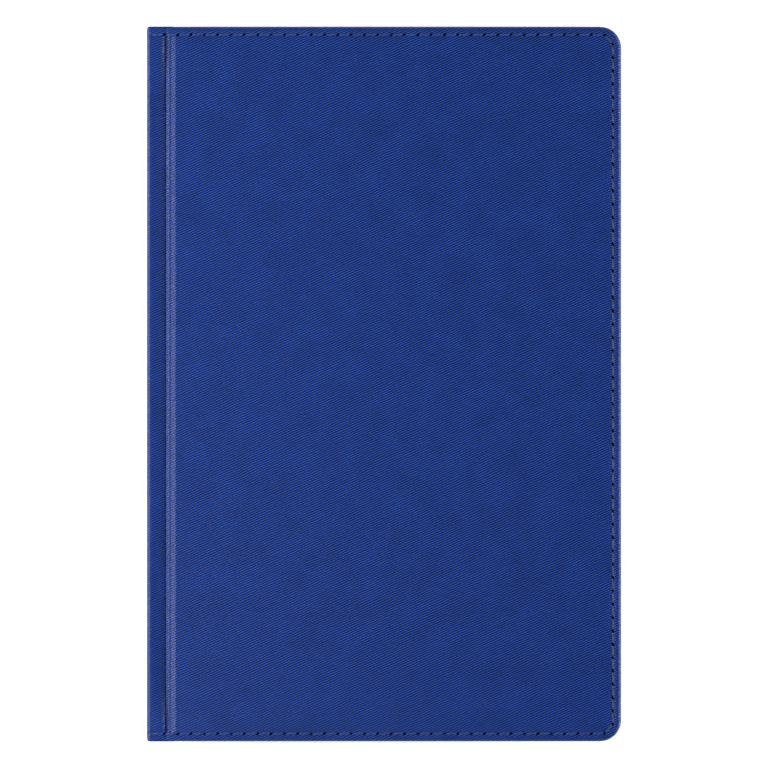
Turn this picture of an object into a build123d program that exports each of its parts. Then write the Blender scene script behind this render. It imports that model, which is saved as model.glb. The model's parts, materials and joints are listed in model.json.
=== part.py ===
from build123d import *
import os

# A case-bound logbook lying closed on its back cover, in millimetres.
# +X runs from the spine to the fore-edge, +Y from the tail to the head, +Z up through the book.
# The origin is under the middle of the book, on the surface that it lies on.

# ---- driving sizes -------------------------------------------------------------------------
BOOK_WIDTH = 142.0            # over the cloth, from the spine to the fore-edge
BOOK_HEIGHT = 214.0           # over the cloth, from tail to head
BOOK_THICKNESS = 14.0         # over both covers

CLOTH = 0.5                   # covering material
BOARD = 1.5                   # binder's board in each cover
TURN_IN = 0.3                 # covering material, pared thin where it folds over inside
PASTEDOWN = 0.2               # endpaper half that is glued to the board
FLYLEAF = 0.2                 # endpaper half that turns
SPINE_STRIP = 1.2             # stiff strip in the spine
STRIP_END = 1.5               # strip's head and tail to the spine's own, filled by folded cloth
MULL = 0.3                    # gauze on the back of the text block

COVER_CORNER_RADIUS = 6.4     # fore-edge corners of both covers
PAGE_CORNER_RADIUS = 4.5      # fore-edge corners of the leaves
EDGE_ROUNDING = 0.4           # outer edge of the cloth, all round a cover
FOLD_RADIUS = 1.2             # outside radius of the cloth where it folds round the spine
SQUARE = 3.0                  # how far the covers overhang the leaves
TURN_IN_WIDTH = 12.0          # width of the folded-over cloth inside a cover
PASTEDOWN_INSET = 2.2         # cloth left showing round the pastedown

BEAD_FLAT_END = 3.2           # spine face to where the bead starts down into the groove
GROOVE_LEFT = 5.5             # spine face to the left of the groove's floor
GROOVE_RIGHT = 5.9            # spine face to the right of the groove's floor
GROOVE_DEPTH = 1.1            # from the cover's face to the groove's floor
GROOVE_ENTRY_SLOPE = 0.4      # fall of the bead's side where it meets the groove's floor
LIP_START = 6.6               # spine face to the top of the groove's steep wall
LIP_DEPTH = 0.5               # from the cover's face to the top of that wall
PANEL_START = 8.6             # spine face to where the cover becomes flat
BOARD_START = 6.9             # spine face to the board's edge

STITCH_INSET = 2.2            # cover's edge to the middle of the stitched line
STITCH_WIDTH = 0.6            # width of the stitched line
STITCH_DEPTH = 0.3            # how deep the thread sinks into the cloth

SECTIONS_PER_HALF = 3         # folded sections in the half that turns, and as many in the other
SECTION_FOLD_ROUNDING = 0.3   # round of a section's folded back
SEWING_STATIONS = 4           # stitches through each section's fold
SEWING_LENGTH = 30.0          # length of one of those stitches
SEWING_THREAD = 0.36          # thickness of the sewing thread
MULL_INSET = 10.0             # mull stops this far short of the leaves' head and tail

# ---- clearances ----------------------------------------------------------------------------
PAGE_GAP = 0.1                # between paper pieces that turn apart
GLUE_GAP = 0.05               # between the mull and the leaves' backs
HOLLOW_BACK = 0.8             # free space between the spine and the mull
STRIP_SIDE_GAP = 0.1          # spine strip's long edges to the folds' centre lines
FILL_GAP = 0.1                # pastedown's thick middle to the turned-in cloth
THREAD_GAP = 0.02             # round the sewing thread, in its slot

# ---- places worked out from those sizes ----------------------------------------------------
SPINE_FACE = -BOOK_WIDTH / 2
FORE_EDGE = BOOK_WIDTH / 2
HEAD = BOOK_HEIGHT / 2
MIDDLE_PLANE = Plane.XY.offset(BOOK_THICKNESS / 2)

BOARD_TOP = BOOK_THICKNESS - CLOTH
BOARD_BOTTOM = BOARD_TOP - BOARD
TURN_IN_BOTTOM = BOARD_BOTTOM - TURN_IN
COVER_INSIDE = TURN_IN_BOTTOM - PASTEDOWN
COVER_THICKNESS = BOOK_THICKNESS - COVER_INSIDE

FOLD_X = SPINE_FACE + FOLD_RADIUS
FRONT_FOLD_Z = BOOK_THICKNESS - FOLD_RADIUS
BACK_FOLD_Z = FOLD_RADIUS

SPINE_INSIDE = SPINE_FACE + CLOTH + SPINE_STRIP + TURN_IN
MULL_X = SPINE_INSIDE + HOLLOW_BACK
PAGE_BACK = MULL_X + MULL + GLUE_GAP
PAGE_FORE_EDGE = FORE_EDGE - SQUARE
PAGE_HEAD = HEAD - SQUARE

BACK_STACK_BOTTOM = COVER_THICKNESS + FLYLEAF
FRONT_STACK_TOP = COVER_INSIDE - PAGE_GAP - FLYLEAF - PAGE_GAP
SECTION = (FRONT_STACK_TOP - BACK_STACK_BOTTOM - PAGE_GAP) / (2 * SECTIONS_PER_HALF)

os.makedirs("parts", exist_ok=True)


def finish(piece, name):
    """Label a piece and write it to its own file."""
    piece.part.label = name
    export_step(piece.part, f"parts/{name}.step")


def outline(left, right, half_height, corner_radius):
    """Rectangle with its two fore-edge corners rounded."""
    with BuildSketch() as shape:
        with BuildLine():
            Polyline(
                (right - corner_radius, half_height),
                (left, half_height),
                (left, -half_height),
                (right - corner_radius, -half_height),
            )
            RadiusArc(
                (right - corner_radius, -half_height),
                (right, corner_radius - half_height),
                -corner_radius,
            )
            Line((right, corner_radius - half_height), (right, half_height - corner_radius))
            RadiusArc(
                (right, half_height - corner_radius),
                (right - corner_radius, half_height),
                -corner_radius,
            )
        make_face()
    return shape.sketch


def cut_depth(distance, depth):
    """Point of a section across the hinge: how far in from the spine, and how far below the cover."""
    return (SPINE_FACE + distance, BOOK_THICKNESS - depth)


def stitched_path(inset):
    """Outline that starts at the fold and is inset from the cover's other three sides."""
    return outline(
        FOLD_X,
        FORE_EDGE - inset,
        HEAD - inset,
        COVER_CORNER_RADIUS - inset,
    )


def stitched_line(depth):
    """Part of a cover's cloth that the edge stitching takes up, down to a depth."""
    with BuildPart() as line:
        with BuildSketch(Plane.XY.offset(BOOK_THICKNESS)):
            add(stitched_path(STITCH_INSET - STITCH_WIDTH / 2))
        extrude(amount=-depth)
        with BuildSketch(Plane.XY.offset(BOOK_THICKNESS)):
            add(stitched_path(STITCH_INSET + STITCH_WIDTH / 2))
        extrude(amount=-depth, mode=Mode.SUBTRACT)
        # The seam runs along head, fore-edge and tail, and it is interrupted at the groove.
        with BuildSketch(Plane.XY.offset(BOOK_THICKNESS)):
            with Locations((SPINE_FACE + (BEAD_FLAT_END + PANEL_START) / 2, 0)):
                Rectangle(PANEL_START - BEAD_FLAT_END, BOOK_HEIGHT)
        extrude(amount=-depth, mode=Mode.SUBTRACT)
    return line


def mirrored(piece):
    """The same piece of the other cover, turned over about the book's middle plane."""
    with BuildPart() as twin:
        mirror(piece.part, about=MIDDLE_PLANE)
    return twin


def leaf_block(bottom, thickness):
    """Flat block of paper with rounded fore-edge corners."""
    with BuildPart() as block:
        with BuildSketch(Plane.XY.offset(bottom)):
            add(outline(PAGE_BACK, PAGE_FORE_EDGE, PAGE_HEAD, PAGE_CORNER_RADIUS))
        extrude(amount=thickness)
    return block


def sewing(bottom, thickness, width):
    """Row of straight stitches along the back of one section."""
    pitch = (2 * PAGE_HEAD - SEWING_LENGTH) / SEWING_STATIONS
    with BuildPart() as rods:
        with BuildSketch(Plane.YZ.offset(PAGE_BACK)):
            with Locations((0, bottom + thickness / 2)):
                with GridLocations(pitch, 0, SEWING_STATIONS, 1):
                    Rectangle(SEWING_LENGTH + width - SEWING_THREAD, width)
        extrude(amount=width)
    return rods


def section(bottom):
    """One folded section of leaves, with a slot for its sewing."""
    with BuildPart() as leaves:
        add(leaf_block(bottom, SECTION).part)
        back_face = leaves.faces().sort_by(Axis.X)[0]
        fillet(back_face.edges().filter_by(Axis.Y), SECTION_FOLD_ROUNDING)
        add(sewing(bottom, SECTION, SEWING_THREAD + 2 * THREAD_GAP).part, mode=Mode.SUBTRACT)
    return leaves


def section_thread(bottom):
    """The sewing of one section, seated in the bottom of its slot."""
    return sewing(bottom, SECTION, SEWING_THREAD)


# ---- front cover ---------------------------------------------------------------------------
BOARD_BEVEL = PANEL_START - BOARD_START
BOARD_BEVEL_DEPTH = LIP_DEPTH * BOARD_BEVEL / (PANEL_START - LIP_START)

with BuildPart() as front_board:
    with BuildSketch(Plane.XY.offset(BOARD_BOTTOM)):
        add(
            outline(
                SPINE_FACE + BOARD_START,
                FORE_EDGE - CLOTH,
                HEAD - CLOTH,
                COVER_CORNER_RADIUS - CLOTH,
            )
        )
    extrude(amount=BOARD)
    # The board's hinge edge is bevelled, so the cloth slopes down into the groove.
    with BuildSketch(Plane.XZ.offset(-BOOK_HEIGHT)):
        with BuildLine():
            Polyline(
                cut_depth(BOARD_START, CLOTH),
                cut_depth(PANEL_START, CLOTH),
                cut_depth(BOARD_START, CLOTH + BOARD_BEVEL_DEPTH),
                close=True,
            )
        make_face()
    extrude(amount=2 * BOOK_HEIGHT, mode=Mode.SUBTRACT)
finish(front_board, "front_board")

with BuildPart() as front_cover_cloth:
    with BuildSketch(Plane.XY.offset(TURN_IN_BOTTOM)):
        add(outline(FOLD_X, FORE_EDGE, HEAD, COVER_CORNER_RADIUS))
    extrude(amount=BOOK_THICKNESS - TURN_IN_BOTTOM)
    cover_face = front_cover_cloth.faces().sort_by(Axis.Z)[-1]
    fillet(cover_face.edges().sort_by(Axis.X)[1:], EDGE_ROUNDING)
    add(front_board.part, mode=Mode.SUBTRACT)
    # Inside the cover the cloth is folded over the board's edges, and open in the middle.
    with BuildSketch(Plane.XY.offset(TURN_IN_BOTTOM)):
        add(
            outline(
                SPINE_FACE + BOARD_START,
                FORE_EDGE - TURN_IN_WIDTH,
                HEAD - TURN_IN_WIDTH,
                COVER_CORNER_RADIUS,
            )
        )
    extrude(amount=TURN_IN, mode=Mode.SUBTRACT)
    # Groove pressed into the outside, between the rounded bead and the board.
    with BuildSketch(Plane.XZ.offset(-BOOK_HEIGHT)):
        with BuildLine():
            Spline(
                cut_depth(BEAD_FLAT_END, 0),
                cut_depth(GROOVE_LEFT, GROOVE_DEPTH),
                tangents=((1, 0), (1, -GROOVE_ENTRY_SLOPE)),
            )
            Polyline(
                cut_depth(GROOVE_LEFT, GROOVE_DEPTH),
                cut_depth(GROOVE_RIGHT, GROOVE_DEPTH),
                cut_depth(LIP_START, LIP_DEPTH),
                cut_depth(PANEL_START, 0),
                cut_depth(PANEL_START, -CLOTH),
                cut_depth(BEAD_FLAT_END, -CLOTH),
                cut_depth(BEAD_FLAT_END, 0),
            )
        make_face()
    extrude(amount=2 * BOOK_HEIGHT, mode=Mode.SUBTRACT)
    # The joint is cloth alone, so it is hollow under the bead and the groove.
    with BuildSketch(Plane.XZ.offset(-BOOK_HEIGHT)):
        with BuildLine():
            Spline(
                cut_depth(BEAD_FLAT_END, CLOTH),
                cut_depth(GROOVE_LEFT, GROOVE_DEPTH + CLOTH),
                tangents=((1, 0), (1, -GROOVE_ENTRY_SLOPE)),
            )
            Polyline(
                cut_depth(GROOVE_LEFT, GROOVE_DEPTH + CLOTH),
                cut_depth(BOARD_START, GROOVE_DEPTH + CLOTH),
                cut_depth(BOARD_START, COVER_THICKNESS),
                cut_depth(0, COVER_THICKNESS),
                cut_depth(0, CLOTH),
                cut_depth(BEAD_FLAT_END, CLOTH),
            )
        make_face()
    extrude(amount=2 * BOOK_HEIGHT, mode=Mode.SUBTRACT)
    add(stitched_line(STITCH_DEPTH).part, mode=Mode.SUBTRACT)
finish(front_cover_cloth, "front_cover_cloth")

front_edge_stitching = stitched_line(STITCH_DEPTH)
finish(front_edge_stitching, "front_edge_stitching")

with BuildPart() as front_pastedown:
    with BuildSketch(Plane.XY.offset(COVER_INSIDE)):
        add(
            outline(
                SPINE_FACE + BOARD_START,
                FORE_EDGE - PASTEDOWN_INSET,
                HEAD - PASTEDOWN_INSET,
                COVER_CORNER_RADIUS - PASTEDOWN_INSET,
            )
        )
    extrude(amount=PASTEDOWN)
    # Its middle fills the opening between the turned-in edges of the cloth.
    with BuildSketch(Plane.XY.offset(TURN_IN_BOTTOM)):
        add(
            outline(
                SPINE_FACE + BOARD_START,
                FORE_EDGE - TURN_IN_WIDTH - FILL_GAP,
                HEAD - TURN_IN_WIDTH - FILL_GAP,
                COVER_CORNER_RADIUS,
            )
        )
    extrude(amount=TURN_IN)
finish(front_pastedown, "front_pastedown")

# ---- back cover, the front one turned over --------------------------------------------------
back_board = mirrored(front_board)
finish(back_board, "back_board")
back_cover_cloth = mirrored(front_cover_cloth)
finish(back_cover_cloth, "back_cover_cloth")
back_edge_stitching = mirrored(front_edge_stitching)
finish(back_edge_stitching, "back_edge_stitching")
back_pastedown = mirrored(front_pastedown)
finish(back_pastedown, "back_pastedown")

# ---- spine ---------------------------------------------------------------------------------
with BuildPart() as spine_strip:
    with BuildSketch(Plane.YZ.offset(SPINE_FACE + CLOTH)):
        with Locations((0, BOOK_THICKNESS / 2)):
            Rectangle(
                BOOK_HEIGHT - 2 * STRIP_END,
                FRONT_FOLD_Z - BACK_FOLD_Z - 2 * STRIP_SIDE_GAP,
            )
    extrude(amount=SPINE_STRIP)
finish(spine_strip, "spine_strip")

with BuildPart() as spine_cloth:
    with BuildSketch(Plane.YZ.offset(SPINE_FACE)):
        with Locations((0, BOOK_THICKNESS / 2)):
            Rectangle(BOOK_HEIGHT, FRONT_FOLD_Z - BACK_FOLD_Z)
    extrude(amount=SPINE_INSIDE - SPINE_FACE)
    # The cloth is folded over the strip's head and tail, and open between.
    with BuildSketch(Plane.YZ.offset(SPINE_FACE + CLOTH)):
        with Locations((0, BOOK_THICKNESS / 2)):
            Rectangle(BOOK_HEIGHT - 2 * STRIP_END, BOOK_THICKNESS)
    extrude(amount=SPINE_STRIP, mode=Mode.SUBTRACT)
    with BuildSketch(Plane.YZ.offset(SPINE_INSIDE - TURN_IN)):
        with Locations((0, BOOK_THICKNESS / 2)):
            Rectangle(BOOK_HEIGHT - 2 * TURN_IN_WIDTH, BOOK_THICKNESS)
    extrude(amount=TURN_IN, mode=Mode.SUBTRACT)
finish(spine_cloth, "spine_cloth")

# The cloth folds round the spine's two long edges, and these folds bend as the book opens.
with BuildPart() as front_fold_cloth:
    with BuildSketch(Plane.XZ.offset(-HEAD)):
        with Locations((FOLD_X, FRONT_FOLD_Z)):
            Circle(FOLD_RADIUS)
            Circle(FOLD_RADIUS - CLOTH, mode=Mode.SUBTRACT)
            Rectangle(FOLD_RADIUS, FOLD_RADIUS, align=(Align.MAX, Align.MIN), mode=Mode.INTERSECT)
    extrude(amount=BOOK_HEIGHT)
finish(front_fold_cloth, "front_fold_cloth")
back_fold_cloth = mirrored(front_fold_cloth)
finish(back_fold_cloth, "back_fold_cloth")

# ---- text block ----------------------------------------------------------------------------
with BuildPart() as mull:
    with BuildSketch(Plane.YZ.offset(MULL_X)):
        with Locations((0, (BACK_STACK_BOTTOM + FRONT_STACK_TOP) / 2)):
            Rectangle(2 * (PAGE_HEAD - MULL_INSET), FRONT_STACK_TOP - BACK_STACK_BOTTOM)
    extrude(amount=MULL)
finish(mull, "mull")

front_flyleaf = leaf_block(FRONT_STACK_TOP + PAGE_GAP, FLYLEAF)
finish(front_flyleaf, "front_flyleaf")
back_flyleaf = leaf_block(COVER_THICKNESS, FLYLEAF)
finish(back_flyleaf, "back_flyleaf")

# Section 1 lies under the front cover. The book opens between the two halves.
for number in range(1, 2 * SECTIONS_PER_HALF + 1):
    bottom = FRONT_STACK_TOP - number * SECTION
    if number > SECTIONS_PER_HALF:
        bottom -= PAGE_GAP
    section_leaves = section(bottom)
    finish(section_leaves, f"section_{number}")
    thread = section_thread(bottom)
    finish(thread, f"section_{number}_thread")

# The spine turns about the back fold, the front cover about the front fold, and the front half
# of the leaves about the mull's outside, halfway up the book.
print("hinge axes (x, z):")
print("  back fold ", FOLD_X, BACK_FOLD_Z)
print("  front fold", FOLD_X, FRONT_FOLD_Z)
print("  leaves    ", MULL_X, BOOK_THICKNESS / 2)
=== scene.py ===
import json
import math
import random

import bpy
import numpy as np
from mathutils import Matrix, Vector


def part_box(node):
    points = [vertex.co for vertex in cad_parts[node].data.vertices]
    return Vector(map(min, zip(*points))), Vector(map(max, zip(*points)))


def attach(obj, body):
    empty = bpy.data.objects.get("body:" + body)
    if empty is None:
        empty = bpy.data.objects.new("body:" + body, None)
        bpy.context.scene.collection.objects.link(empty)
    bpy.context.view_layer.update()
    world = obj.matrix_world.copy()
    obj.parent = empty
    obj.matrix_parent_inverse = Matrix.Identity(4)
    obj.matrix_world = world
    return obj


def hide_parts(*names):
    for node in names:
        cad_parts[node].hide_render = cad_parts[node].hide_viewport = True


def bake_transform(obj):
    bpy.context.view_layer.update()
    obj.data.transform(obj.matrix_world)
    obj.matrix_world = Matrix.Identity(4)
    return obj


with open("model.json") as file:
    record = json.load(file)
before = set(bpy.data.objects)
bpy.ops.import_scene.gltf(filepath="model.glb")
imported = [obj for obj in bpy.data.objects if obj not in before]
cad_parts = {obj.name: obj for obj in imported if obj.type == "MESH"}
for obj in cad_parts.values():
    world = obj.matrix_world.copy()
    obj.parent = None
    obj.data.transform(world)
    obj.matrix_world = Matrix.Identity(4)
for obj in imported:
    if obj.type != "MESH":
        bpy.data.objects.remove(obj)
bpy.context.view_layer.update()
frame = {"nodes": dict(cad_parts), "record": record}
MM = 0.001

# ---- sizes taken from the frame -------------------------------------------------------------
panel_low, panel_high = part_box("front_cover_cloth")
spine_low, spine_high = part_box("spine_cloth")
mull_low, mull_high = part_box("mull")

SPINE = spine_low.x                  # outer face of the spine
FORE_EDGE = panel_high.x
HEAD = panel_high.y
TOP = panel_high.z                   # outer face of the front cover
COVER_DEPTH = panel_high.z - panel_low.z
FOLD_RADIUS = panel_low.x - SPINE
SPINE_DEPTH = spine_high.x - spine_low.x

# ---- sizes of the cover's shape ---------------------------------------------------------------
CORNER_RADIUS = 6.4 * MM
SPINE_CORNER = 1.0 * MM              # rounding of the spine's head and tail, seen from above
CLOTH = 0.45 * MM
TURN_IN_WIDTH = 5.8 * MM             # the rest of the folded-over cloth is under the endpaper
TURN_IN_ROUND = 0.5 * MM             # rounding where the cloth turns in under the board
BARE_DEPTH = 0.9 * MM                # doubled cloth where no board lies between
SPINE_STRIP_FROM = 2.4 * MM          # from the cover's face to the spine strip's full depth
PANEL_ROUND = 1.25 * MM              # rounded edge of the padded panel
SPINE_ROUND = 0.45 * MM              # rounded edge where the cloth is thin
PANEL_CROWN = 0.10 * MM              # the panel is this much fuller in the middle
CROWN_START, CROWN_END = 2 * MM, 12 * MM     # where that fullness comes up, from the edge in

# Places across the hinge, each measured from the spine's face.
BEAD_CROWN = 1.3 * MM
GROOVE_FLOOR = 5.75 * MM
LIP_TOP = 6.8 * MM
SLOPE_START = LIP_TOP + 0.35 * MM
PANEL_FLAT = 8.75 * MM
HINGE_END = PANEL_FLAT + 0.4 * MM

# Depths below the cover's face.
GROOVE_DEPTH = 1.3 * MM
SHELF_DEPTH = 0.6 * MM               # cloth on the board's bevelled edge

# Changes along the hinge. Distances are measured from head and tail.
GROOVE_END = 2.6 * MM                # the groove fades out this far from head and tail
FADE_START, FADE_END = GROOVE_END - 0.5 * MM, GROOVE_END + 0.6 * MM
FULL_FLANK = 17 * MM                 # the bead's flank reaches its ordinary curve here
FLANK_CURVE = 1.45                   # power of that curve
FLANK_CURVE_RISE = 5.0               # added to it at head and tail, where the bead is fuller
FADED_SHARE = 0.22                   # depth of the groove that is left at head and tail

# The stitched line.
HEAD_SEAM = 2.5 * MM                 # cover's edge to the stitched line
TAIL_SEAM = 2.4 * MM
FORE_SEAM = 2.55 * MM
SEAM_START = FOLD_RADIUS + 0.1 * MM  # clear of the fold, which bends
SEAM_CORNER = 3.0 * MM               # the stitched line turns a corner on this radius
SEAM_WIDTH = 0.6 * MM                # half-width of the valley that the stitches pull
SEAM_DEPTH = 0.22 * MM
STITCH_PITCH = 4.0 * MM
THREAD_RADIUS = 0.26 * MM

TINY = 1e-9                          # less than any distance on the cover
FACING_UP = 0.2                      # least upward part of a normal on the cover's face


def ease(value, start, end):
    """0 before start, 1 after end, smooth between."""
    t = min(1.0, max(0.0, (value - start) / (end - start)))
    return t * t * (3 - 2 * t)


def ramp(value, start, end):
    """0 before start, 1 after end, nearly straight between."""
    t = min(1.0, max(0.0, (value - start) / (end - start)))
    return 0.65 * t + 0.35 * t * t * (3 - 2 * t)


# =============================================================================================
# Materials
# =============================================================================================
class Nodes:
    """Short way to add and link nodes in one tree."""

    def __init__(self, tree):
        self.tree = tree

    def add(self, kind, inputs=(), **settings):
        node = self.tree.nodes.new(kind)
        for name, value in settings.items():
            setattr(node, name, value)
        for socket, value in dict(inputs).items():
            self.put(node.inputs[socket], value)
        return node

    def put(self, socket, value):
        """Link a socket to another node's output, or set it to a plain value."""
        if isinstance(value, bpy.types.NodeSocket):
            self.tree.links.new(value, socket)
        else:
            socket.default_value = value

    def math(self, operation, *values):
        return self.add("ShaderNodeMath", dict(enumerate(values)), operation=operation).outputs[0]

    def mix(self, factor, a, b, blend="MIX"):
        node = self.add("ShaderNodeMix", data_type="RGBA", blend_type=blend)
        for index, value in ((0, factor), (6, a), (7, b)):
            self.put(node.inputs[index], value)
        return node.outputs[2]

    def span(self, value, low, high, to_low, to_high):
        inputs = {0: value, 1: low, 2: high, 3: to_low, 4: to_high}
        return self.add("ShaderNodeMapRange", inputs).outputs[0]

    def strength(self, value, amounts):
        """Least strength where the value is 0, and the extra on top of it where it is 1."""
        least, extra = amounts
        return self.math("MULTIPLY_ADD", value, extra, least)

    def wave(self, turns):
        """0 to 1 and back for each whole turn."""
        sine = self.math("SINE", self.math("MULTIPLY", turns, math.tau))
        return self.math("MULTIPLY_ADD", sine, 0.5, 0.5)

    def crest_number(self, turns):
        """Whole number that stays the same over one crest of the wave."""
        return self.math("FLOOR", self.math("ADD", turns, 0.25))

    def facing(self):
        """How far the surface faces up or down in its piece: 0 on the sides, 1 on the flats."""
        normal = self.add("ShaderNodeTexCoord").outputs["Normal"]
        up = self.add("ShaderNodeSeparateXYZ", {0: normal}).outputs[2]
        return self.math("ABSOLUTE", up)


def group(name, inputs, outputs):
    """Empty node group; inputs are (name, socket type, default), outputs are names of values."""
    tree = bpy.data.node_groups.new(name, "ShaderNodeTree")
    for label, kind, default in inputs:
        socket = tree.interface.new_socket(name=label, in_out="INPUT", socket_type=kind)
        if default is not None:
            socket.default_value = default
    for label in outputs:
        tree.interface.new_socket(name=label, in_out="OUTPUT", socket_type="NodeSocketFloat")
    nodes = Nodes(tree)
    return nodes, nodes.add("NodeGroupInput").outputs, nodes.add("NodeGroupOutput").inputs


WANDER_SCALE = 0.12                  # cords wander over about 8 mm
WANDER = 0.9                         # and by less than half a pitch to either side
TICK_STAGGER = 0.38                  # a cord's ticks are this far along from its neighbour's
TICK_RELIEF = 0.45                   # share of a cord's height that comes and goes with a tick


def twill_group():
    """Raised diagonal cords of a twill grain, each broken into short ticks."""
    n, given, out = group(
        "twill_grain",
        [
            ("Position", "NodeSocketVector", None),
            ("Pitch", "NodeSocketFloat", 0.65),
            ("Lean", "NodeSocketFloat", 24.0),
            ("Tick Length", "NodeSocketFloat", 0.9),
        ],
        ["Cord", "Tick", "Glint Noise", "Height"],
    )
    lean = n.math("RADIANS", given["Lean"])
    sine, cosine = n.math("SINE", lean), n.math("COSINE", lean)
    x, y = n.add("ShaderNodeSeparateXYZ", {0: given["Position"]}).outputs[:2]
    across = n.math("SUBTRACT", n.math("MULTIPLY", y, cosine), n.math("MULTIPLY", x, sine))
    along = n.math("ADD", n.math("MULTIPLY", x, cosine), n.math("MULTIPLY", y, sine))
    wander = n.add("ShaderNodeTexNoise",
                   {"Vector": given["Position"], "Scale": WANDER_SCALE, "Detail": 2.0})
    drift = n.math("MULTIPLY", n.math("SUBTRACT", wander.outputs[0], 0.5), WANDER)
    turns = n.math("ADD", n.math("DIVIDE", across, given["Pitch"]), drift)
    cord = n.wave(turns)
    row = n.crest_number(turns)
    stagger = n.math("MULTIPLY", row, TICK_STAGGER)
    beat = n.math("ADD", n.math("DIVIDE", along, given["Tick Length"]), stagger)
    tick = n.wave(beat)
    cell = n.add("ShaderNodeCombineXYZ", {0: row, 1: n.crest_number(beat)}).outputs[0]
    # Random value for each tick, used for painted glints of random strength.
    glint_noise = n.add("ShaderNodeTexWhiteNoise", {"Vector": cell}).outputs["Value"]
    relief = n.strength(tick, (1 - TICK_RELIEF, TICK_RELIEF))
    n.put(out["Cord"], cord)
    n.put(out["Tick"], tick)
    n.put(out["Glint Noise"], glint_noise)
    n.put(out["Height"], n.math("MULTIPLY", cord, relief))
    return n.tree


def fibre_group():
    """Cloudy shade and fine fibres, for cloth, paper, board and thread."""
    n, given, out = group(
        "fibres",
        [
            ("Position", "NodeSocketVector", None),
            ("Cloud Size", "NodeSocketFloat", 20.0),
            ("Fibre Size", "NodeSocketFloat", 0.25),
        ],
        ["Cloud", "Fibre"],
    )
    for label, detail in (("Cloud", 3.0), ("Fibre", 5.0)):
        scale = n.math("DIVIDE", 1.0, given[f"{label} Size"])
        noise = n.add("ShaderNodeTexNoise",
                      {"Vector": given["Position"], "Scale": scale, "Detail": detail})
        n.put(out[label], noise.outputs[0])
    return n.tree


TWILL = twill_group()
FIBRES = fibre_group()


def material(name, specular):
    """New material; returns it, its nodes and its Principled shader."""
    made = bpy.data.materials.new(name)
    made.use_nodes = True
    shader = made.node_tree.nodes["Principled BSDF"]
    shader.inputs["Specular IOR Level"].default_value = specular
    return made, Nodes(made.node_tree), shader


def millimetres(n, from_map=False):
    """Surface position in millimetres: on the cloth's own map, or in the piece's own space."""
    coordinates = n.add("ShaderNodeTexCoord").outputs["UV" if from_map else "Object"]
    scale = 1.0 if from_map else 1 / MM
    inputs = {0: coordinates, "Scale": scale}
    return n.add("ShaderNodeVectorMath", inputs, operation="SCALE").outputs[0]


def twill(n, place, **sizes):
    return n.add("ShaderNodeGroup", {"Position": place, **sizes}, node_tree=TWILL).outputs


def fibres(n, place, cloud, fibre):
    """Fibres group, with the sizes of its clouds and fibres in millimetres."""
    inputs = {"Position": place, "Cloud Size": cloud, "Fibre Size": fibre}
    return n.add("ShaderNodeGroup", inputs, node_tree=FIBRES).outputs


def use_bump(n, shader, height, strength, distance):
    bump = n.add("ShaderNodeBump", {"Height": height, "Strength": strength, "Distance": distance})
    n.put(shader.inputs["Normal"], bump.outputs[0])


GRAIN_PITCH = 0.65                   # millimetres from cord to cord
GRAIN_LEAN = 24.0                    # degrees that the cords rise towards the fore-edge
# Painted shade: the ground between the raised cords is near black, standing in for their shadows.
CLOTH_SHADED_GROUND = (0.0, 0.006, 0.05, 1)
CLOTH_CORD = (0.002, 0.074, 0.47, 1)
CLOTH_CREST_HIGHLIGHT = (0.075, 0.12, 0.48, 1)
CLOTH_WORN = (0.035, 0.075, 0.27, 1)
CLOTH_HOLLOW_SHADE = (0.001, 0.006, 0.04, 1)
# Least and extra strength: of a cord's painted glints from its random noise and its ticks, and of
# its crest's painted highlight.
GLINT_NOISE_STRENGTH = (0.52, 0.22)
TICK_GLINT_STRENGTH = (0.85, 0.3)
CREST_HIGHLIGHT_STRENGTH = (0.25, 0.35)
CREST_START = 0.6                    # share of a cord's height where its painted highlight begins
WORN_AMOUNT = 0.35
HOLLOW_SHADE_AMOUNT = 0.6


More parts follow.
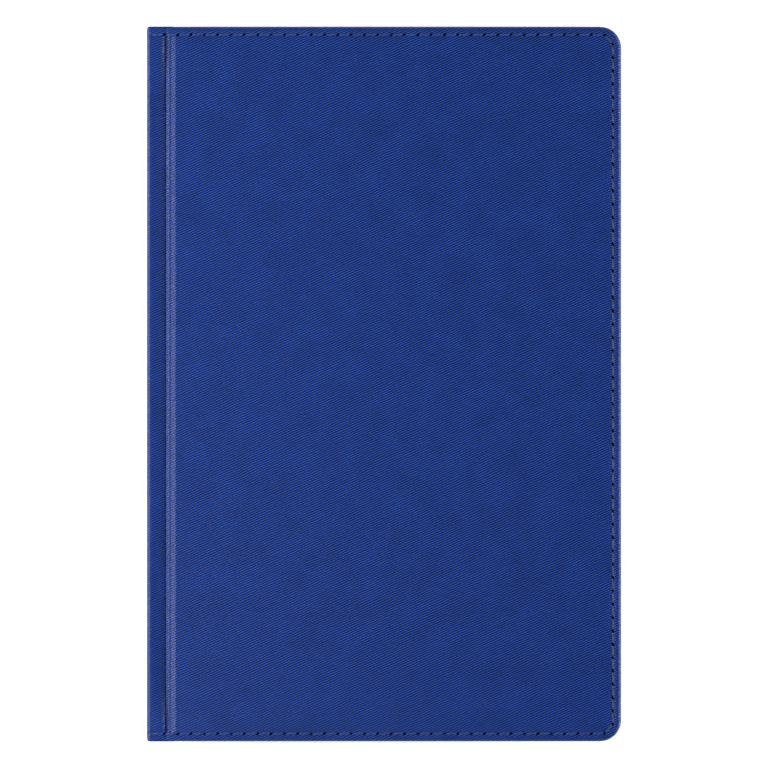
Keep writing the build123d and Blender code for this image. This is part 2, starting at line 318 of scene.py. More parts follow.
def grained_cloth():
    """Blue coated cloth: cords with painted highlights on their crests and painted glints on their
    ticks, over a ground darkened as painted shade; satin, worn on its edges.
    """
    made, n, shader = material("grained_blue_cloth", specular=0.3)
    place = millimetres(n, from_map=True)
    grain = twill(n, place, Pitch=GRAIN_PITCH, Lean=GRAIN_LEAN)
    # Painted glints: each tick of a cord is brighter by a random amount and towards its middle.
    lit = n.math("MULTIPLY", grain["Cord"], n.strength(grain["Glint Noise"], GLINT_NOISE_STRENGTH))
    lit = n.math("MULTIPLY", lit, n.strength(grain["Tick"], TICK_GLINT_STRENGTH))
    # Cords over the ground, which is darkened as painted shade between them.
    colour = n.mix(lit, CLOTH_SHADED_GROUND, CLOTH_CORD)
    # Painted highlight: pale, less saturated colour on each cord's crest.
    crest_highlight = n.math("MULTIPLY", n.span(grain["Cord"], CREST_START, 1.0, 0.0, 1.0),
                   n.strength(grain["Tick"], CREST_HIGHLIGHT_STRENGTH))
    colour = n.mix(crest_highlight, colour, CLOTH_CREST_HIGHLIGHT)
    cloud = n.span(fibres(n, place, cloud=9.0, fibre=0.5)["Cloud"], 0.3, 0.7, 0.90, 1.10)
    shade = n.add("ShaderNodeCombineColor", {0: cloud, 1: cloud, 2: cloud}).outputs[0]
    colour = n.mix(1.0, colour, shade, "MULTIPLY")
    # Edges rubbed by hands are a little paler; hollows such as the stitched valley are darker with
    # painted shade.
    point = n.add("ShaderNodeNewGeometry").outputs["Pointiness"]
    worn = n.math("MULTIPLY", n.span(point, 0.52, 0.58, 0.0, 1.0), WORN_AMOUNT)
    colour = n.mix(worn, colour, CLOTH_WORN)
    # Painted shade: low pointiness, in hollows, darkens the colour.
    hollow_shade = n.math("MULTIPLY", n.span(point, 0.49, 0.44, 0.0, 1.0), HOLLOW_SHADE_AMOUNT)
    colour = n.mix(hollow_shade, colour, CLOTH_HOLLOW_SHADE)
    n.put(shader.inputs["Base Color"], colour)
    n.put(shader.inputs["Roughness"], n.span(grain["Height"], 0.0, 1.0, 0.44, 0.3))
    use_bump(n, shader, grain["Height"], 1.0, 0.09 * MM)
    return made


def thread_material(name, dark, pale):
    """Spun thread: fine strands, some of them paler."""
    made, n, shader = material(name, specular=0.3)
    strands = fibres(n, millimetres(n), cloud=1.2, fibre=0.12)
    strand = n.span(strands["Fibre"], 0.35, 0.65, 0.0, 1.0)
    n.put(shader.inputs["Base Color"], n.mix(strand, dark, pale))
    n.put(shader.inputs["Roughness"], n.span(strands["Cloud"], 0.3, 0.7, 0.5, 0.7))
    use_bump(n, shader, strands["Fibre"], 0.4, 0.05 * MM)
    return made


def hole_shade_material():
    """Painted shade for the dark inside of a needle hole."""
    made, n, shader = material("needle_hole_shade", specular=0.05)
    shade_noise = fibres(n, millimetres(n), cloud=1.0, fibre=0.1)
    colour = n.mix(shade_noise["Fibre"], (0.0008, 0.0009, 0.003, 1), (0.002, 0.002, 0.008, 1))
    n.put(shader.inputs["Base Color"], colour)
    n.put(shader.inputs["Roughness"], n.span(shade_noise["Cloud"], 0, 1, 0.8, 1.0))
    return made


LEAF_GAP_SHADE_COLOUR = (0.33, 0.29, 0.22, 1)
RULE_COLOUR = (0.12, 0.24, 0.34, 1)
RULE_STRENGTH = 0.8
# Rules: axis they are stepped along, pitch, offset and line width, in millimetres.
RULES = ((1, 7.5, 0.0, 0.25), (0, 22.0, 6.0, 0.3))
# Ruled area: axis, low end and high end, in millimetres.
RULED_AREA = ((0, -58.0, 60.0), (1, -94.0, 90.5))
PAST_EVERY_LEAF = 500.0              # keeps the rules' count above 0 all over the leaf


def leaf_gap_shade(n, place, colour):
    """Irregular fine lines of painted shade along the cut edges, where the leaves' edges lie on
    each other.
    """
    stretched = n.add("ShaderNodeVectorMath", {0: place, 1: (0.02, 0.02, 4.5)},
                      operation="MULTIPLY").outputs[0]
    noise = n.add("ShaderNodeTexNoise", {"Vector": stretched, "Scale": 1.0, "Detail": 4.0})
    line = n.span(noise.outputs[0], 0.38, 0.56, 0.62, 0.0)
    line = n.math("MULTIPLY", line, n.math("LESS_THAN", n.facing(), 0.5))
    return n.mix(line, colour, LEAF_GAP_SHADE_COLOUR)


def ruled(n, place, colour):
    """Plain entry rows and columns printed on the leaves' flat faces, with a margin all round."""
    axes = n.add("ShaderNodeSeparateXYZ", {0: place}).outputs
    lines = None
    for axis, pitch, offset, width in RULES:
        steps = n.math("DIVIDE", n.math("ADD", axes[axis], PAST_EVERY_LEAF + offset), pitch)
        line = n.math("LESS_THAN", n.math("FRACT", steps), width / pitch)
        lines = line if lines is None else n.math("MAXIMUM", lines, line)
    for axis, low, high in RULED_AREA:
        inside = n.math("MULTIPLY", n.math("GREATER_THAN", axes[axis], low),
                        n.math("LESS_THAN", axes[axis], high))
        lines = n.math("MULTIPLY", lines, inside)
    lines = n.math("MULTIPLY", lines, n.math("GREATER_THAN", n.facing(), 0.9))
    return n.mix(n.math("MULTIPLY", lines, RULE_STRENGTH), colour, RULE_COLOUR)


def paper_material(name, pale, deep, is_leaf=False):
    """Uncoated paper: soft clouds and fine fibres, and on a leaf its rules and painted shade lines
    on its edges.
    """
    made, n, shader = material(name, specular=0.25)
    place = millimetres(n)
    pulp = fibres(n, place, cloud=18.0, fibre=0.3)
    amount = n.math("MULTIPLY", n.math("ADD", pulp["Cloud"], pulp["Fibre"]), 0.5)
    colour = n.mix(n.span(amount, 0.3, 0.7, 0.0, 1.0), pale, deep)
    if is_leaf:
        colour = leaf_gap_shade(n, place, ruled(n, place, colour))
    n.put(shader.inputs["Base Color"], colour)
    n.put(shader.inputs["Roughness"], n.span(pulp["Fibre"], 0.3, 0.7, 0.75, 0.9))
    use_bump(n, shader, pulp["Fibre"], 0.25, 0.03 * MM)
    return made


def gauze_material():
    """Open gauze: two sets of threads with pale glue between them."""
    made, n, shader = material("glued_gauze", specular=0.5)
    weave = twill(n, millimetres(n), **{"Pitch": 0.9, "Lean": 0.0, "Tick Length": 0.9})
    colour = n.mix(weave["Height"], (0.42, 0.38, 0.27, 1), (0.78, 0.74, 0.62, 1))
    n.put(shader.inputs["Base Color"], colour)
    n.put(shader.inputs["Roughness"], n.span(weave["Cord"], 0, 1, 0.55, 0.85))
    use_bump(n, shader, weave["Height"], 0.5, 0.08 * MM)
    return made


CLOTH_FINISH = grained_cloth()
STITCH_FINISH = thread_material("stitching_thread", (0.002, 0.01, 0.06, 1), (0.06, 0.12, 0.36, 1))
HOLE_SHADE_FINISH = hole_shade_material()
SEWING_FINISH = thread_material("linen_thread", (0.6, 0.57, 0.5, 1), (0.85, 0.83, 0.76, 1))
PAGE_FINISH = paper_material("ledger_paper", (0.76, 0.73, 0.64, 1), (0.68, 0.65, 0.55, 1),
                             is_leaf=True)
ENDPAPER_FINISH = paper_material("endpaper", (0.68, 0.64, 0.54, 1), (0.6, 0.56, 0.46, 1))
BOARD_FINISH = paper_material("grey_board", (0.3, 0.28, 0.24, 1), (0.2, 0.19, 0.16, 1))
GAUZE_FINISH = gauze_material()


# =============================================================================================
# Meshes
# =============================================================================================
def mesh_piece(name, points, faces, finishes, face_finish=None, smooth=True):
    """Object made of points and faces, with one or more finishes."""
    mesh = bpy.data.meshes.new(name)
    mesh.from_pydata([tuple(p) for p in points], [], faces)
    for finish in finishes:
        mesh.materials.append(finish)
    if face_finish is not None:
        mesh.polygons.foreach_set("material_index", face_finish)
    mesh.polygons.foreach_set("use_smooth", [smooth] * len(mesh.polygons))
    mesh.update()
    piece = bpy.data.objects.new(name, mesh)
    bpy.context.collection.objects.link(piece)
    return piece


def turn_over(points, faces):
    """The same shape on the back cover, for one made on the front cover."""
    return [(x, y, TOP - z) for x, y, z in points], [tuple(reversed(f)) for f in faces]


def strip(a, b):
    """Quads between two lines of point indices of the same length."""
    return [(a[j], b[j], b[j + 1], a[j + 1]) for j in range(len(a) - 1)]


# ---- the cover's outer surface ----------------------------------------------------------------
def corner_inset(distance, radius):
    """How far a rounded corner of that radius has cut in, at a distance from its side."""
    if distance >= radius:
        return 0.0
    return radius - math.sqrt(max(0.0, radius ** 2 - (radius - distance) ** 2))


def half_height(x):
    """Half of the cover's height at x."""
    return HEAD - max(corner_inset(FORE_EDGE - x, CORNER_RADIUS),
                      corner_inset(x - SPINE, SPINE_CORNER))


def edge_distance(x, y):
    """Distance in from the cover's outline, along its rounded fore-edge corners too."""
    dx, dy = FORE_EDGE - x, HEAD - abs(y)
    if dx < CORNER_RADIUS and dy < CORNER_RADIUS:
        return CORNER_RADIUS - math.hypot(CORNER_RADIUS - dx, CORNER_RADIUS - dy)
    return min(dx, dy)


def groove(x, y):
    """Depth of the pressed groove and of the bead's flank beside it."""
    across, end = x - SPINE, half_height(x) - abs(y)
    if across > PANEL_FLAT:
        return 0.0
    curve = FLANK_CURVE + FLANK_CURVE_RISE * (1 - ease(end, GROOVE_END, FULL_FLANK))
    t = min(1.0, max(0.0, (across - BEAD_CROWN) / (GROOVE_FLOOR - BEAD_CROWN)))
    depth = GROOVE_DEPTH * t ** curve
    depth -= (GROOVE_DEPTH - SHELF_DEPTH) * ramp(across, GROOVE_FLOOR, LIP_TOP)
    depth -= SHELF_DEPTH * ramp(across, SLOPE_START, PANEL_FLAT)
    return depth * (FADED_SHARE + (1 - FADED_SHARE) * ease(end, FADE_START, FADE_END))


def seam_distance(x, y):
    """Distance from the stitched line, which runs along head, fore-edge and tail."""
    inset = HEAD_SEAM if y > 0 else TAIL_SEAM
    dx, dy = (FORE_EDGE - FORE_SEAM) - x, (HEAD - inset) - abs(y)
    if dx < SEAM_CORNER and dy < SEAM_CORNER:
        return abs(SEAM_CORNER - math.hypot(SEAM_CORNER - dx, SEAM_CORNER - dy))
    return abs(min(dx, dy))


def on_panel(x):
    """0 on the spine side of the groove, 1 on the padded panel."""
    return ease(x - SPINE, LIP_TOP, PANEL_FLAT)


def edge_round(x):
    """Radius of the rounded outer edge: small on the thin spine, larger on the padded panel."""
    return SPINE_ROUND + (PANEL_ROUND - SPINE_ROUND) * on_panel(x)


def sunk(x, y, on_face=True):
    """How far the outer surface lies below the cover's flat face, or the spine's flat face."""
    radius, inside = edge_round(x), edge_distance(x, y)
    drop = radius - math.sqrt(max(0.0, radius ** 2 - max(0.0, radius - inside) ** 2))
    if on_face:
        drop += groove(x, y)
        gap = seam_distance(x, y) / SEAM_WIDTH
        drop += SEAM_DEPTH * math.exp(-gap * gap)
        drop += PANEL_CROWN * (1 - ease(inside, CROWN_START, CROWN_END)) * on_panel(x)
    return drop


# Rows and columns near the cover's edge, in millimetres from it: close together where the
# surface curves over the edge and through the stitched valley.
EDGE_STEPS = [step * MM for step in (
    0.0, 0.03, 0.1, 0.22, 0.38, 0.58, 0.82, 1.1, 1.4, 1.65, 1.85, 2.0, 2.12, 2.24, 2.36, 2.48,
    2.6, 2.72, 2.85, 3.0, 3.2, 3.5, 4.0, 5.0, 6.4, 8.5, 11.0, 14.0, 18.0, 23.0,
)]
MIDDLE_ROWS = 30
MIDDLE_COLUMNS = 34
SPINE_ROWS = 10
FOLD_STEPS = 10
HINGE_STEP = 0.14 * MM


def columns(with_spine):
    """Places across the cloth: x, z, outward normal (x, z) and length along the cloth so far."""
    places = []
    if with_spine:
        low, high = FOLD_RADIUS, TOP - FOLD_RADIUS
        for i in range(SPINE_ROWS):
            places.append((SPINE, low + (high - low) * i / SPINE_ROWS, -1.0, 0.0))
    fold_x, fold_z = SPINE + FOLD_RADIUS, TOP - FOLD_RADIUS
    for i in range(FOLD_STEPS):
        angle = math.pi - math.pi / 2 * i / FOLD_STEPS
        nx, nz = math.cos(angle), math.sin(angle)
        places.append((fold_x + FOLD_RADIUS * nx, fold_z + FOLD_RADIUS * nz, nx, nz))
    # The flat part: the hinge and the middle in even steps, then the fore-edge.
    hinge_end = SPINE + HINGE_END
    inner = FORE_EDGE - EDGE_STEPS[-1]
    hinge_columns = round((hinge_end - fold_x) / HINGE_STEP)
    stretches = ((fold_x, hinge_end, hinge_columns), (hinge_end, inner, MIDDLE_COLUMNS))
    for low, high, count in stretches:
        for i in range(count):
            places.append((low + (high - low) * i / count, TOP, 0.0, 1.0))
    for step in reversed(EDGE_STEPS):
        places.append((FORE_EDGE - step, TOP, 0.0, 1.0))
    lengths = [0.0]
    for a, b in zip(places, places[1:]):
        lengths.append(lengths[-1] + math.hypot(b[0] - a[0], b[1] - a[1]))
    # Lengths are shifted so that on the flat part they equal x, on either cover.
    full = lengths[-1]
    return [(*place, FORE_EDGE - (full - length)) for place, length in zip(places, lengths)]


def rows(x):
    """y of each row at x, from the tail to the head, close together near both."""
    reach = half_height(x)
    inner = reach - EDGE_STEPS[-1]
    tail = [-(reach - step) for step in EDGE_STEPS]
    middle = [-inner + 2 * inner * i / MIDDLE_ROWS for i in range(1, MIDDLE_ROWS)]
    return tail + middle + [-y for y in reversed(tail)]


# Rings of the folded-over edge, in order outward from the outer face: down the side, round
# under the board and in across its inside.
SIDE_SHARES = (0.35, 0.6)
TURN_ANGLES = (0.0, 0.4, 0.8, 1.2, math.pi / 2)
FLAT_SHARES = (0.06, 0.2, 0.5, 0.8, 1.0)
# Cloth taken up by each ring, on the cloth's map.
RING_WIDTHS = [0.6 * MM] * (len(SIDE_SHARES) + len(TURN_ANGLES)) + [2.2 * MM] * len(FLAT_SHARES)
LARGEST_TURN = 0.45                  # share of the edge's depth that the rounding may take


def rim_depth(x, z, nx):
    """Depth from the outer face to the inside of the folded-over cloth."""
    if nx < -0.99:                   # on the spine's flat face
        full = ease(min(z, TOP - z), FOLD_RADIUS, SPINE_STRIP_FROM)
        return BARE_DEPTH + (SPINE_DEPTH - BARE_DEPTH) * full
    return BARE_DEPTH + (COVER_DEPTH - BARE_DEPTH) * ease(x - SPINE, GROOVE_FLOOR, LIP_TOP)


def folded_edge(x, z, nx):
    """Depth below the outer face and distance in from the outline, for each ring."""
    depth, start = rim_depth(x, z, nx), edge_round(x)
    turn = min(TURN_IN_ROUND, depth * LARGEST_TURN)
    side = [(start + max(0.0, depth - turn - start) * share, 0.0) for share in SIDE_SHARES]
    under = [(max(depth - turn + turn * math.sin(a), start), turn * (1 - math.cos(a)))
             for a in TURN_ANGLES]
    flat = [(depth, TURN_IN_ROUND + (TURN_IN_WIDTH - TURN_IN_ROUND) * share)
            for share in FLAT_SHARES]
    return side + under + flat


def moved_in(x, y, on_fore_edge, inset):
    """A place on the cover's outline moved inward, round the fore-edge corners as well."""
    corner_x, corner_y = FORE_EDGE - CORNER_RADIUS, HEAD - CORNER_RADIUS
    if x > corner_x and abs(y) > corner_y - TINY:
        angle = math.atan2(abs(y) - corner_y, x - corner_x)
        radius = CORNER_RADIUS - inset
        return (corner_x + radius * math.cos(angle),
                (corner_y + radius * math.sin(angle)) * math.copysign(1, y))
    if on_fore_edge:
        return x - inset, math.copysign(min(abs(y), corner_y), y)
    return min(x, corner_x), y - math.copysign(inset, y)


def cover_skin(with_spine):
    """Outer surface of the front cover's cloth with its folded-over edges, spine or no spine.

    Returns its points, its faces and its map: each point's place on the cloth in millimetres.
    """
    across = columns(with_spine)
    points, cloth_map, grid = [], [], []
    for x, z, nx, nz, length in across:
        line = []
        for y in rows(x):
            drop = sunk(max(x, SPINE), y, on_face=nz > FACING_UP)
            line.append(len(points))
            points.append((x - nx * drop, y, z - nz * drop))
            cloth_map.append((length / MM, y / MM))
        grid.append(line)
    faces = []
    for a, b in zip(grid, grid[1:]):
        faces += strip(a, b)

    # The open edge: along the tail from the spine, up the fore-edge and back along the head.
    # Each place is its point, its column and its side: -1 tail, 0 fore-edge, 1 head.
    edge = [(line[0], i, -1) for i, line in enumerate(grid)]
    edge += [(index, len(grid) - 1, 0) for index in grid[-1][1:-1]]
    edge += [(line[-1], i, 1) for i, line in reversed(list(enumerate(grid)))]
    folds = [folded_edge(*across[column][:3]) for _, column, _ in edge]
    last = [index for index, _, _ in edge]
    outward = 0.0
    for number, width in enumerate(RING_WIDTHS):
        ring = []
        outward += width
        for (index, column, side), fold in zip(edge, folds):
            x, z, nx, nz = across[column][:4]
            depth, inset = fold[number]
            px, py = moved_in(x, points[index][1], side == 0, inset)
            if nz > FACING_UP:
                depth += groove(px, py)
            ring.append(len(points))
            points.append((px - nx * depth, py, z - nz * depth))
            u, v = cloth_map[index]
            cloth_map.append((u + (side == 0) * outward / MM, v + side * outward / MM))
        faces += strip(last, ring)
        last = ring
    return points, faces, cloth_map


def skin_piece(name, with_spine, turned_over):
    """Covering cloth of one cover, with its real thickness inside the outer surface."""
    points, faces, cloth_map = cover_skin(with_spine)
    if turned_over:
        points, faces = turn_over(points, faces)
    piece = mesh_piece(name, points, faces, [CLOTH_FINISH])
    layer = piece.data.uv_layers.new(name="cloth")
    corners = np.zeros(len(piece.data.loops), np.int32)
    piece.data.loops.foreach_get("vertex_index", corners)
    layer.data.foreach_set("uv", np.array(cloth_map, np.float32)[corners].ravel())

    shell = piece.modifiers.new("thickness", "SOLIDIFY")
    shell.thickness = CLOTH
    shell.offset = -1
    shell.use_even_offset = False
    depsgraph = bpy.context.evaluated_depsgraph_get()
    solid = bpy.data.meshes.new_from_object(piece.evaluated_get(depsgraph))
    piece.modifiers.clear()
    piece.data = solid
    return piece


# ---- edge stitching ---------------------------------------------------------------------------
ARC_STEPS = 8


def seam_route():
    """Stitched line: along the head from the spine, down the fore-edge, back along the tail."""
    right, start = FORE_EDGE - FORE_SEAM, SPINE + SEAM_START
    route = [(start, HEAD - HEAD_SEAM)]
    for sign, inset in ((1, HEAD_SEAM), (-1, TAIL_SEAM)):
        cx, cy = right - SEAM_CORNER, sign * (HEAD - inset - SEAM_CORNER)
        angles = [math.pi / 2 * i / ARC_STEPS for i in range(ARC_STEPS + 1)]
        arc = [(cx + SEAM_CORNER * math.sin(a), cy + sign * SEAM_CORNER * math.cos(a))
               for a in angles]
        route += arc[::sign]
    route.append((start, -(HEAD - TAIL_SEAM)))
    return route


def walk(route, pitch):
    """Evenly spaced points along a route, with a pitch stretched to fit it."""
    lengths = [0.0]
    for a, b in zip(route, route[1:]):
        lengths.append(lengths[-1] + math.dist(a, b))
    count = round(lengths[-1] / pitch)
    made = []
    for i in range(count + 1):
        at = lengths[-1] * i / count
        k = max(j for j in range(len(route) - 1) if lengths[j] <= at + TINY * MM)
        t = (at - lengths[k]) / (lengths[k + 1] - lengths[k])
        made.append(tuple(a + (b - a) * t for a, b in zip(route[k], route[k + 1])))
    return made


THREAD_SIDES = 10
THREAD_RINGS = 13
THREAD_START, THREAD_SHARE = 0.07, 0.86      # a thread fills this much of its stitch's length
THREAD_LEAN = (0.10 * MM, 0.16 * MM)         # its ends lie this far to either side of the line
THREAD_WIDTH, THREAD_HEIGHT = 1.12, 0.8      # it is pressed a little flat
ARCH_FLATNESS = 0.35                         # power: the smaller, the steeper it dives
# At its ends, and added in its middle, both in thread radii.
THREAD_RISE = (-0.9, 1.15)
THREAD_THICKNESS = (0.55, 0.45)
PLY_BULGE, PLY_TURNS = 0.13, 9.5             # two plies, and radians of twist along a stitch
HOLE_SIDES = 12
HOLE_SIZE = (0.5 * MM, 0.62 * MM)
HOLE_NARROWNESS = 0.58
HOLE_TURN = (0.3, 0.6)                       # radians from the seam
# Rings of a hole: share of its size, and height above the cloth.
HOLE_RINGS = ((1.0, 0.035 * MM), (0.55, 0.03 * MM), (1.0, -0.12 * MM))
HOLE_FLOOR = 0.02 * MM


def add_stitch(points, faces, start, end, lean):
    """One stitch: a twisted thread that dives into the cloth at both ends."""
    ahead = Vector((end[0] - start[0], end[1] - start[1], 0))
    span = ahead.length
    ahead.normalize()
    aside = Vector((-ahead.y, ahead.x, 0))
    first = len(points)
    for i in range(THREAD_RINGS):
        t = i / (THREAD_RINGS - 1)
        along = THREAD_START + THREAD_SHARE * t
        x = start[0] + ahead.x * span * along + aside.x * lean * (2 * t - 1)
        y = start[1] + ahead.y * span * along + aside.y * lean * (2 * t - 1)
        arch = math.sin(math.pi * t) ** ARCH_FLATNESS
        z = TOP - sunk(x, y) + THREAD_RADIUS * (THREAD_RISE[0] + THREAD_RISE[1] * arch)
        thick = THREAD_RADIUS * (THREAD_THICKNESS[0] + THREAD_THICKNESS[1] * arch)
        for k in range(THREAD_SIDES):
            angle = math.tau * k / THREAD_SIDES
            ply = 1 + PLY_BULGE * math.cos(2 * angle - PLY_TURNS * t)
            off = aside * (thick * THREAD_WIDTH * ply * math.cos(angle))
            rise = thick * THREAD_HEIGHT * ply * math.sin(angle)
            points.append((x + off.x, y + off.y, z + rise))
    for i in range(THREAD_RINGS - 1):
        a, b = first + i * THREAD_SIDES, first + (i + 1) * THREAD_SIDES
        for k in range(THREAD_SIDES):
            n = (k + 1) % THREAD_SIDES
            faces.append((a + k, a + n, b + n, b + k))
    last = first + (THREAD_RINGS - 1) * THREAD_SIDES
    faces.append(tuple(first + k for k in reversed(range(THREAD_SIDES))))
    faces.append(tuple(last + k for k in range(THREAD_SIDES)))


def add_hole(points, faces, place, size, turn):
    """One needle hole: a shallow cup, longer than it is wide."""
    x, y = place
    rim = len(points)
    inner, under = rim + HOLE_SIDES, rim + 2 * HOLE_SIDES
    for share, lift in HOLE_RINGS:
        for k in range(HOLE_SIDES):
            angle = math.tau * k / HOLE_SIDES
            long = size * share * math.cos(angle)
            short = HOLE_NARROWNESS * size * share * math.sin(angle)
            px = x + long * math.cos(turn) - short * math.sin(turn)
            py = y + long * math.sin(turn) + short * math.cos(turn)
            points.append((px, py, TOP - sunk(px, py) + lift))
    middle = len(points)
    points.append((x, y, TOP - sunk(x, y) + HOLE_FLOOR))
    for k in range(HOLE_SIDES):
        n = (k + 1) % HOLE_SIDES
        faces.append((rim + k, rim + n, inner + n, inner + k))
        faces.append((inner + k, inner + n, middle))
        faces.append((under + k, under + n, rim + n, rim + k))
    faces.append(tuple(under + k for k in reversed(range(HOLE_SIDES))))


def stitches(name, turned_over, seed):
    """Every stitch of one cover, with a needle hole between each and the next."""
    dice = random.Random(seed)
    holes = walk(seam_route(), STITCH_PITCH)
    points, faces = [], []
    for start, end in zip(holes, holes[1:]):
        add_stitch(points, faces, start, end, dice.uniform(*THREAD_LEAN))
    thread_faces = len(faces)
    for before, place, after in zip(holes, holes[1:], holes[2:]):
        size = dice.uniform(*HOLE_SIZE)
        seam = math.atan2(after[1] - before[1], after[0] - before[0])
        add_hole(points, faces, place, size, seam + dice.uniform(*HOLE_TURN))
    # Holes take the painted shade finish: a dark cup stands in for the shadow inside each hole.
    finish = [0] * thread_faces + [1] * (len(faces) - thread_faces)
    if turned_over:
        points, faces = turn_over(points, faces)
    return mesh_piece(name, points, faces, [STITCH_FINISH, HOLE_SHADE_FINISH], finish)


# ---- leaves -------------------------------------------------------------------------------------
SHEETS_PER_SECTION = 7
LEAF_GAP = 0.012 * MM
LEAF_CORNER = 4.5 * MM
LEAF_CORNER_STEPS = 7
LEAF_ROWS = (40 * MM, 80 * MM)               # from the fore-edge in
FOLD_ANGLES = [math.pi * i / 8 for i in range(1, 8)]
FORE_CREEP = 0.10 * MM                       # edges are out of line by up to this much
HEAD_CREEP = 0.08 * MM


def sheet_outline(fore, fold, middle, half):
    """(x, z) round one face of a folded sheet, from its upper fore-edge to its lower one."""
    steps = [LEAF_CORNER * (1 - math.cos(math.pi / 2 * i / LEAF_CORNER_STEPS))
             for i in range(LEAF_CORNER_STEPS + 1)]
    xs = [fore - step for step in (*steps, *LEAF_ROWS)] + [fold]
    line = [(x, middle + half) for x in xs]
    line += [(fold - half * math.sin(a), middle + half * math.cos(a)) for a in FOLD_ANGLES]
    return line + [(x, middle - half) for x in reversed(xs)]


def folded_sheets(name, node, seed):
    """One section: folded sheets nested in each other, their edges a hair out of line."""
    dice = random.Random(seed)
    low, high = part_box(node)
    pitch = (high.z - low.z) / (2 * SHEETS_PER_SECTION)
    middle = (high.z + low.z) / 2
    points, faces = [], []
    for sheet in range(SHEETS_PER_SECTION):
        outer = (high.z - low.z) / 2 - sheet * pitch
        inner = outer - pitch + LEAF_GAP
        fore = high.x + dice.uniform(-FORE_CREEP, 0.0)
        head = high.y + dice.uniform(-HEAD_CREEP, 0.0)
        fold = low.x + sheet * pitch + outer
        firsts = []
        for half in (outer, inner):
            line = sheet_outline(fore, fold, middle, half)
            firsts.append(len(points))
            for x, z in line:
                reach = head - corner_inset(max(0.0, fore - x), LEAF_CORNER)
                points += [(x, -reach, z), (x, reach, z)]
            for i in range(len(line) - 1):
                a = firsts[-1] + 2 * i
                quad = (a, a + 1, a + 3, a + 2)
                faces.append(quad[::-1] if half == outer else quad)
        size = len(line)
        for i in range(size - 1):
            for side in (0, 1):
                a, c = (first + 2 * i + side for first in firsts)
                faces.append((a, a + 2, c + 2, c) if side == 0 else (a, c, c + 2, a + 2))
        for i in (0, size - 1):
            a, b = (first + 2 * i for first in firsts)
            quad = (a, b, b + 1, a + 1)
            faces.append(quad if i == 0 else quad[::-1])
    return mesh_piece(name, points, faces, [PAGE_FINISH], smooth=False)


GAUZE_STRIPS = 24


def bent_gauze(name):
    """The mull, as a box in strips stacked across its depth."""
    low, high = mull_low, mull_high
    heights = [low.z + (high.z - low.z) * i / GAUZE_STRIPS for i in range(GAUZE_STRIPS + 1)]
    outline = ((low.x, low.y), (low.x, high.y), (high.x, high.y), (high.x, low.y))
    points = [(x, y, z) for z in heights for x, y in outline]
    faces = [(3, 2, 1, 0), tuple(len(points) - 4 + k for k in range(4))]
    for i in range(GAUZE_STRIPS):
        for k in range(4):
            a, b = 4 * i + k, 4 * i + (k + 1) % 4
            faces.append((a, b, b + 4, a + 4))
    return mesh_piece(name, points, faces, [GAUZE_FINISH], smooth=False)


# =============================================================================================
# The logbook
# =============================================================================================
front_skin = skin_piece("front_cover_skin", with_spine=True, turned_over=False)
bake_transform(front_skin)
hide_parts("front_cover_cloth", "front_fold_cloth", "spine_cloth")

back_skin = skin_piece("back_cover_skin", with_spine=False, turned_over=True)
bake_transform(back_skin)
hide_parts("back_cover_cloth", "back_fold_cloth")

for cover, turned_over, seed in (("front", False, 11), ("back", True, 12)):
    seam = stitches(f"{cover}_edge_stitches", turned_over, seed)
    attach(seam, f"{cover}_cover")
    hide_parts(f"{cover}_edge_stitching")

body_nodes = frame["record"]["behaviour"]["bodies"]
node_body = {node: body for body, nodes in body_nodes.items() for node in nodes}
SECTIONS = 6
FIRST_LEAF_SEED = 21
for number in range(SECTIONS):
    node = f"section_{number + 1}"
    leaves = folded_sheets(f"{node}_leaves", node, FIRST_LEAF_SEED + number)
    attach(leaves, node_body[node])
    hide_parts(node)

gauze = bent_gauze("mull_gauze")
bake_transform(gauze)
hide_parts("mull")

FINISH_OF_SLOT = {
    "board": BOARD_FINISH,
    "endpaper": ENDPAPER_FINISH,
    "sewing_thread": SEWING_FINISH,
    "page_paper": PAGE_FINISH,
    "cover_cloth": CLOTH_FINISH,
    "stitching_thread": STITCH_FINISH,
    "mull": GAUZE_FINISH,
}
for row in frame["record"]["subparts"]:
    for place in frame["nodes"][row["node"]].material_slots:
        place.material = FINISH_OF_SLOT[row["material_slot"]]


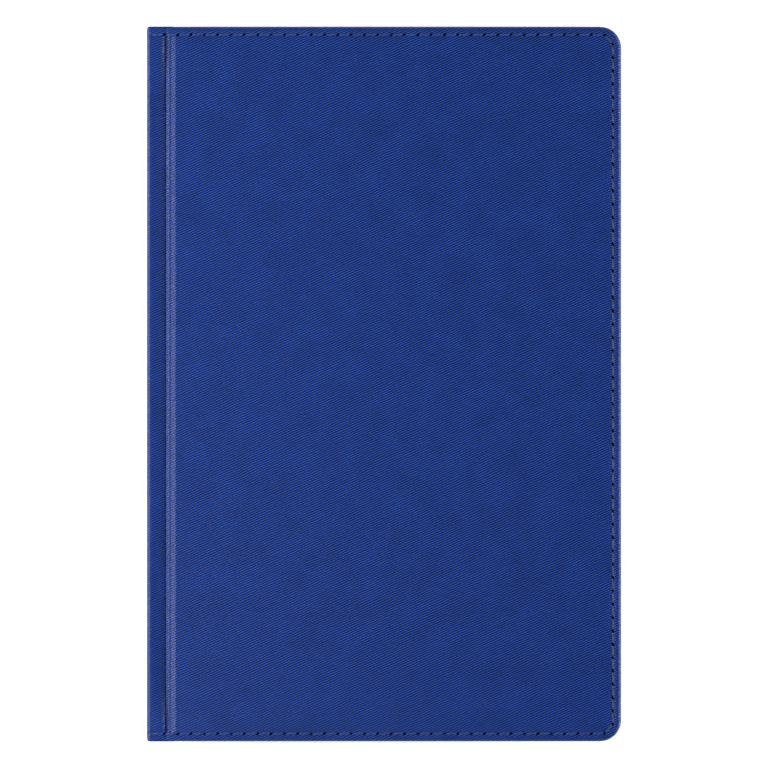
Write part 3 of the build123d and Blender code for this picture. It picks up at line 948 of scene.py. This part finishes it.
# =============================================================================================
# Floor, light and camera
# =============================================================================================
WHITE = (1.0, 1.0, 1.0, 1)
FLOOR_REACH = 6.0
FLOOR_GAP = 0.2 * MM                 # floor below the book, so that their faces don't coincide
FLOOR_GLOW = 0.7
AMBIENT = 0.05
CAMERA_HEIGHT = 1.6                  # above the front cover's face
VIEW_WIDTH = 0.2297                  # what the picture takes in at the front cover's face
SENSOR = 36


def floor():
    made, n, shader = material("pale_floor", specular=0.0)
    clouds = n.add("ShaderNodeTexNoise", {"Scale": 3.0, "Detail": 2.0}).outputs[0]
    n.put(shader.inputs["Base Color"],
          n.mix(clouds, (0.93, 0.93, 0.93, 1), (0.95, 0.95, 0.95, 1)))
    shader.inputs["Roughness"].default_value = 0.9
    shader.inputs["Emission Color"].default_value = WHITE
    shader.inputs["Emission Strength"].default_value = FLOOR_GLOW
    r = FLOOR_REACH
    piece = mesh_piece("floor", [(-r, -r, 0), (r, -r, 0), (r, r, 0), (-r, r, 0)],
                       [(0, 1, 2, 3)], [made])
    piece.location.z = -FLOOR_GAP


def softbox(name, place, size, power):
    """Rectangular area light aimed at the book."""
    lamp = bpy.data.lights.new(name, "AREA")
    lamp.shape = "RECTANGLE"
    lamp.size, lamp.size_y = size
    lamp.energy = power
    made = bpy.data.objects.new(name, lamp)
    made.location = place
    made.rotation_euler = (-Vector(place)).to_track_quat("-Z", "Y").to_euler()
    bpy.context.collection.objects.link(made)


floor()

sky = bpy.data.worlds.new("studio")
sky.use_nodes = True
background = sky.node_tree.nodes["Background"]
background.inputs["Color"].default_value = WHITE
background.inputs["Strength"].default_value = AMBIENT
bpy.context.scene.world = sky

softbox("key_left", (-0.55, 0.02, 0.38), (0.25, 0.6), 6.4)
softbox("fill_right", (1.0, -0.05, 0.05), (0.1, 0.9), 24.0)
softbox("fill_head", (0.1, 1.0, 0.3), (0.9, 0.3), 0.6)
softbox("fill_tail", (0.0, -1.0, 0.3), (0.9, 0.3), 0.4)

lens = bpy.data.cameras.new("camera")
lens.sensor_width = SENSOR
lens.lens = SENSOR * CAMERA_HEIGHT / VIEW_WIDTH
lens.clip_end = 20
camera = bpy.data.objects.new("camera", lens)
camera.location = (0.0, 0.0, TOP + CAMERA_HEIGHT)
bpy.context.collection.objects.link(camera)
bpy.context.scene.camera = camera
bpy.context.scene.view_settings.view_transform = "Standard"

bpy.context.view_layer.update()
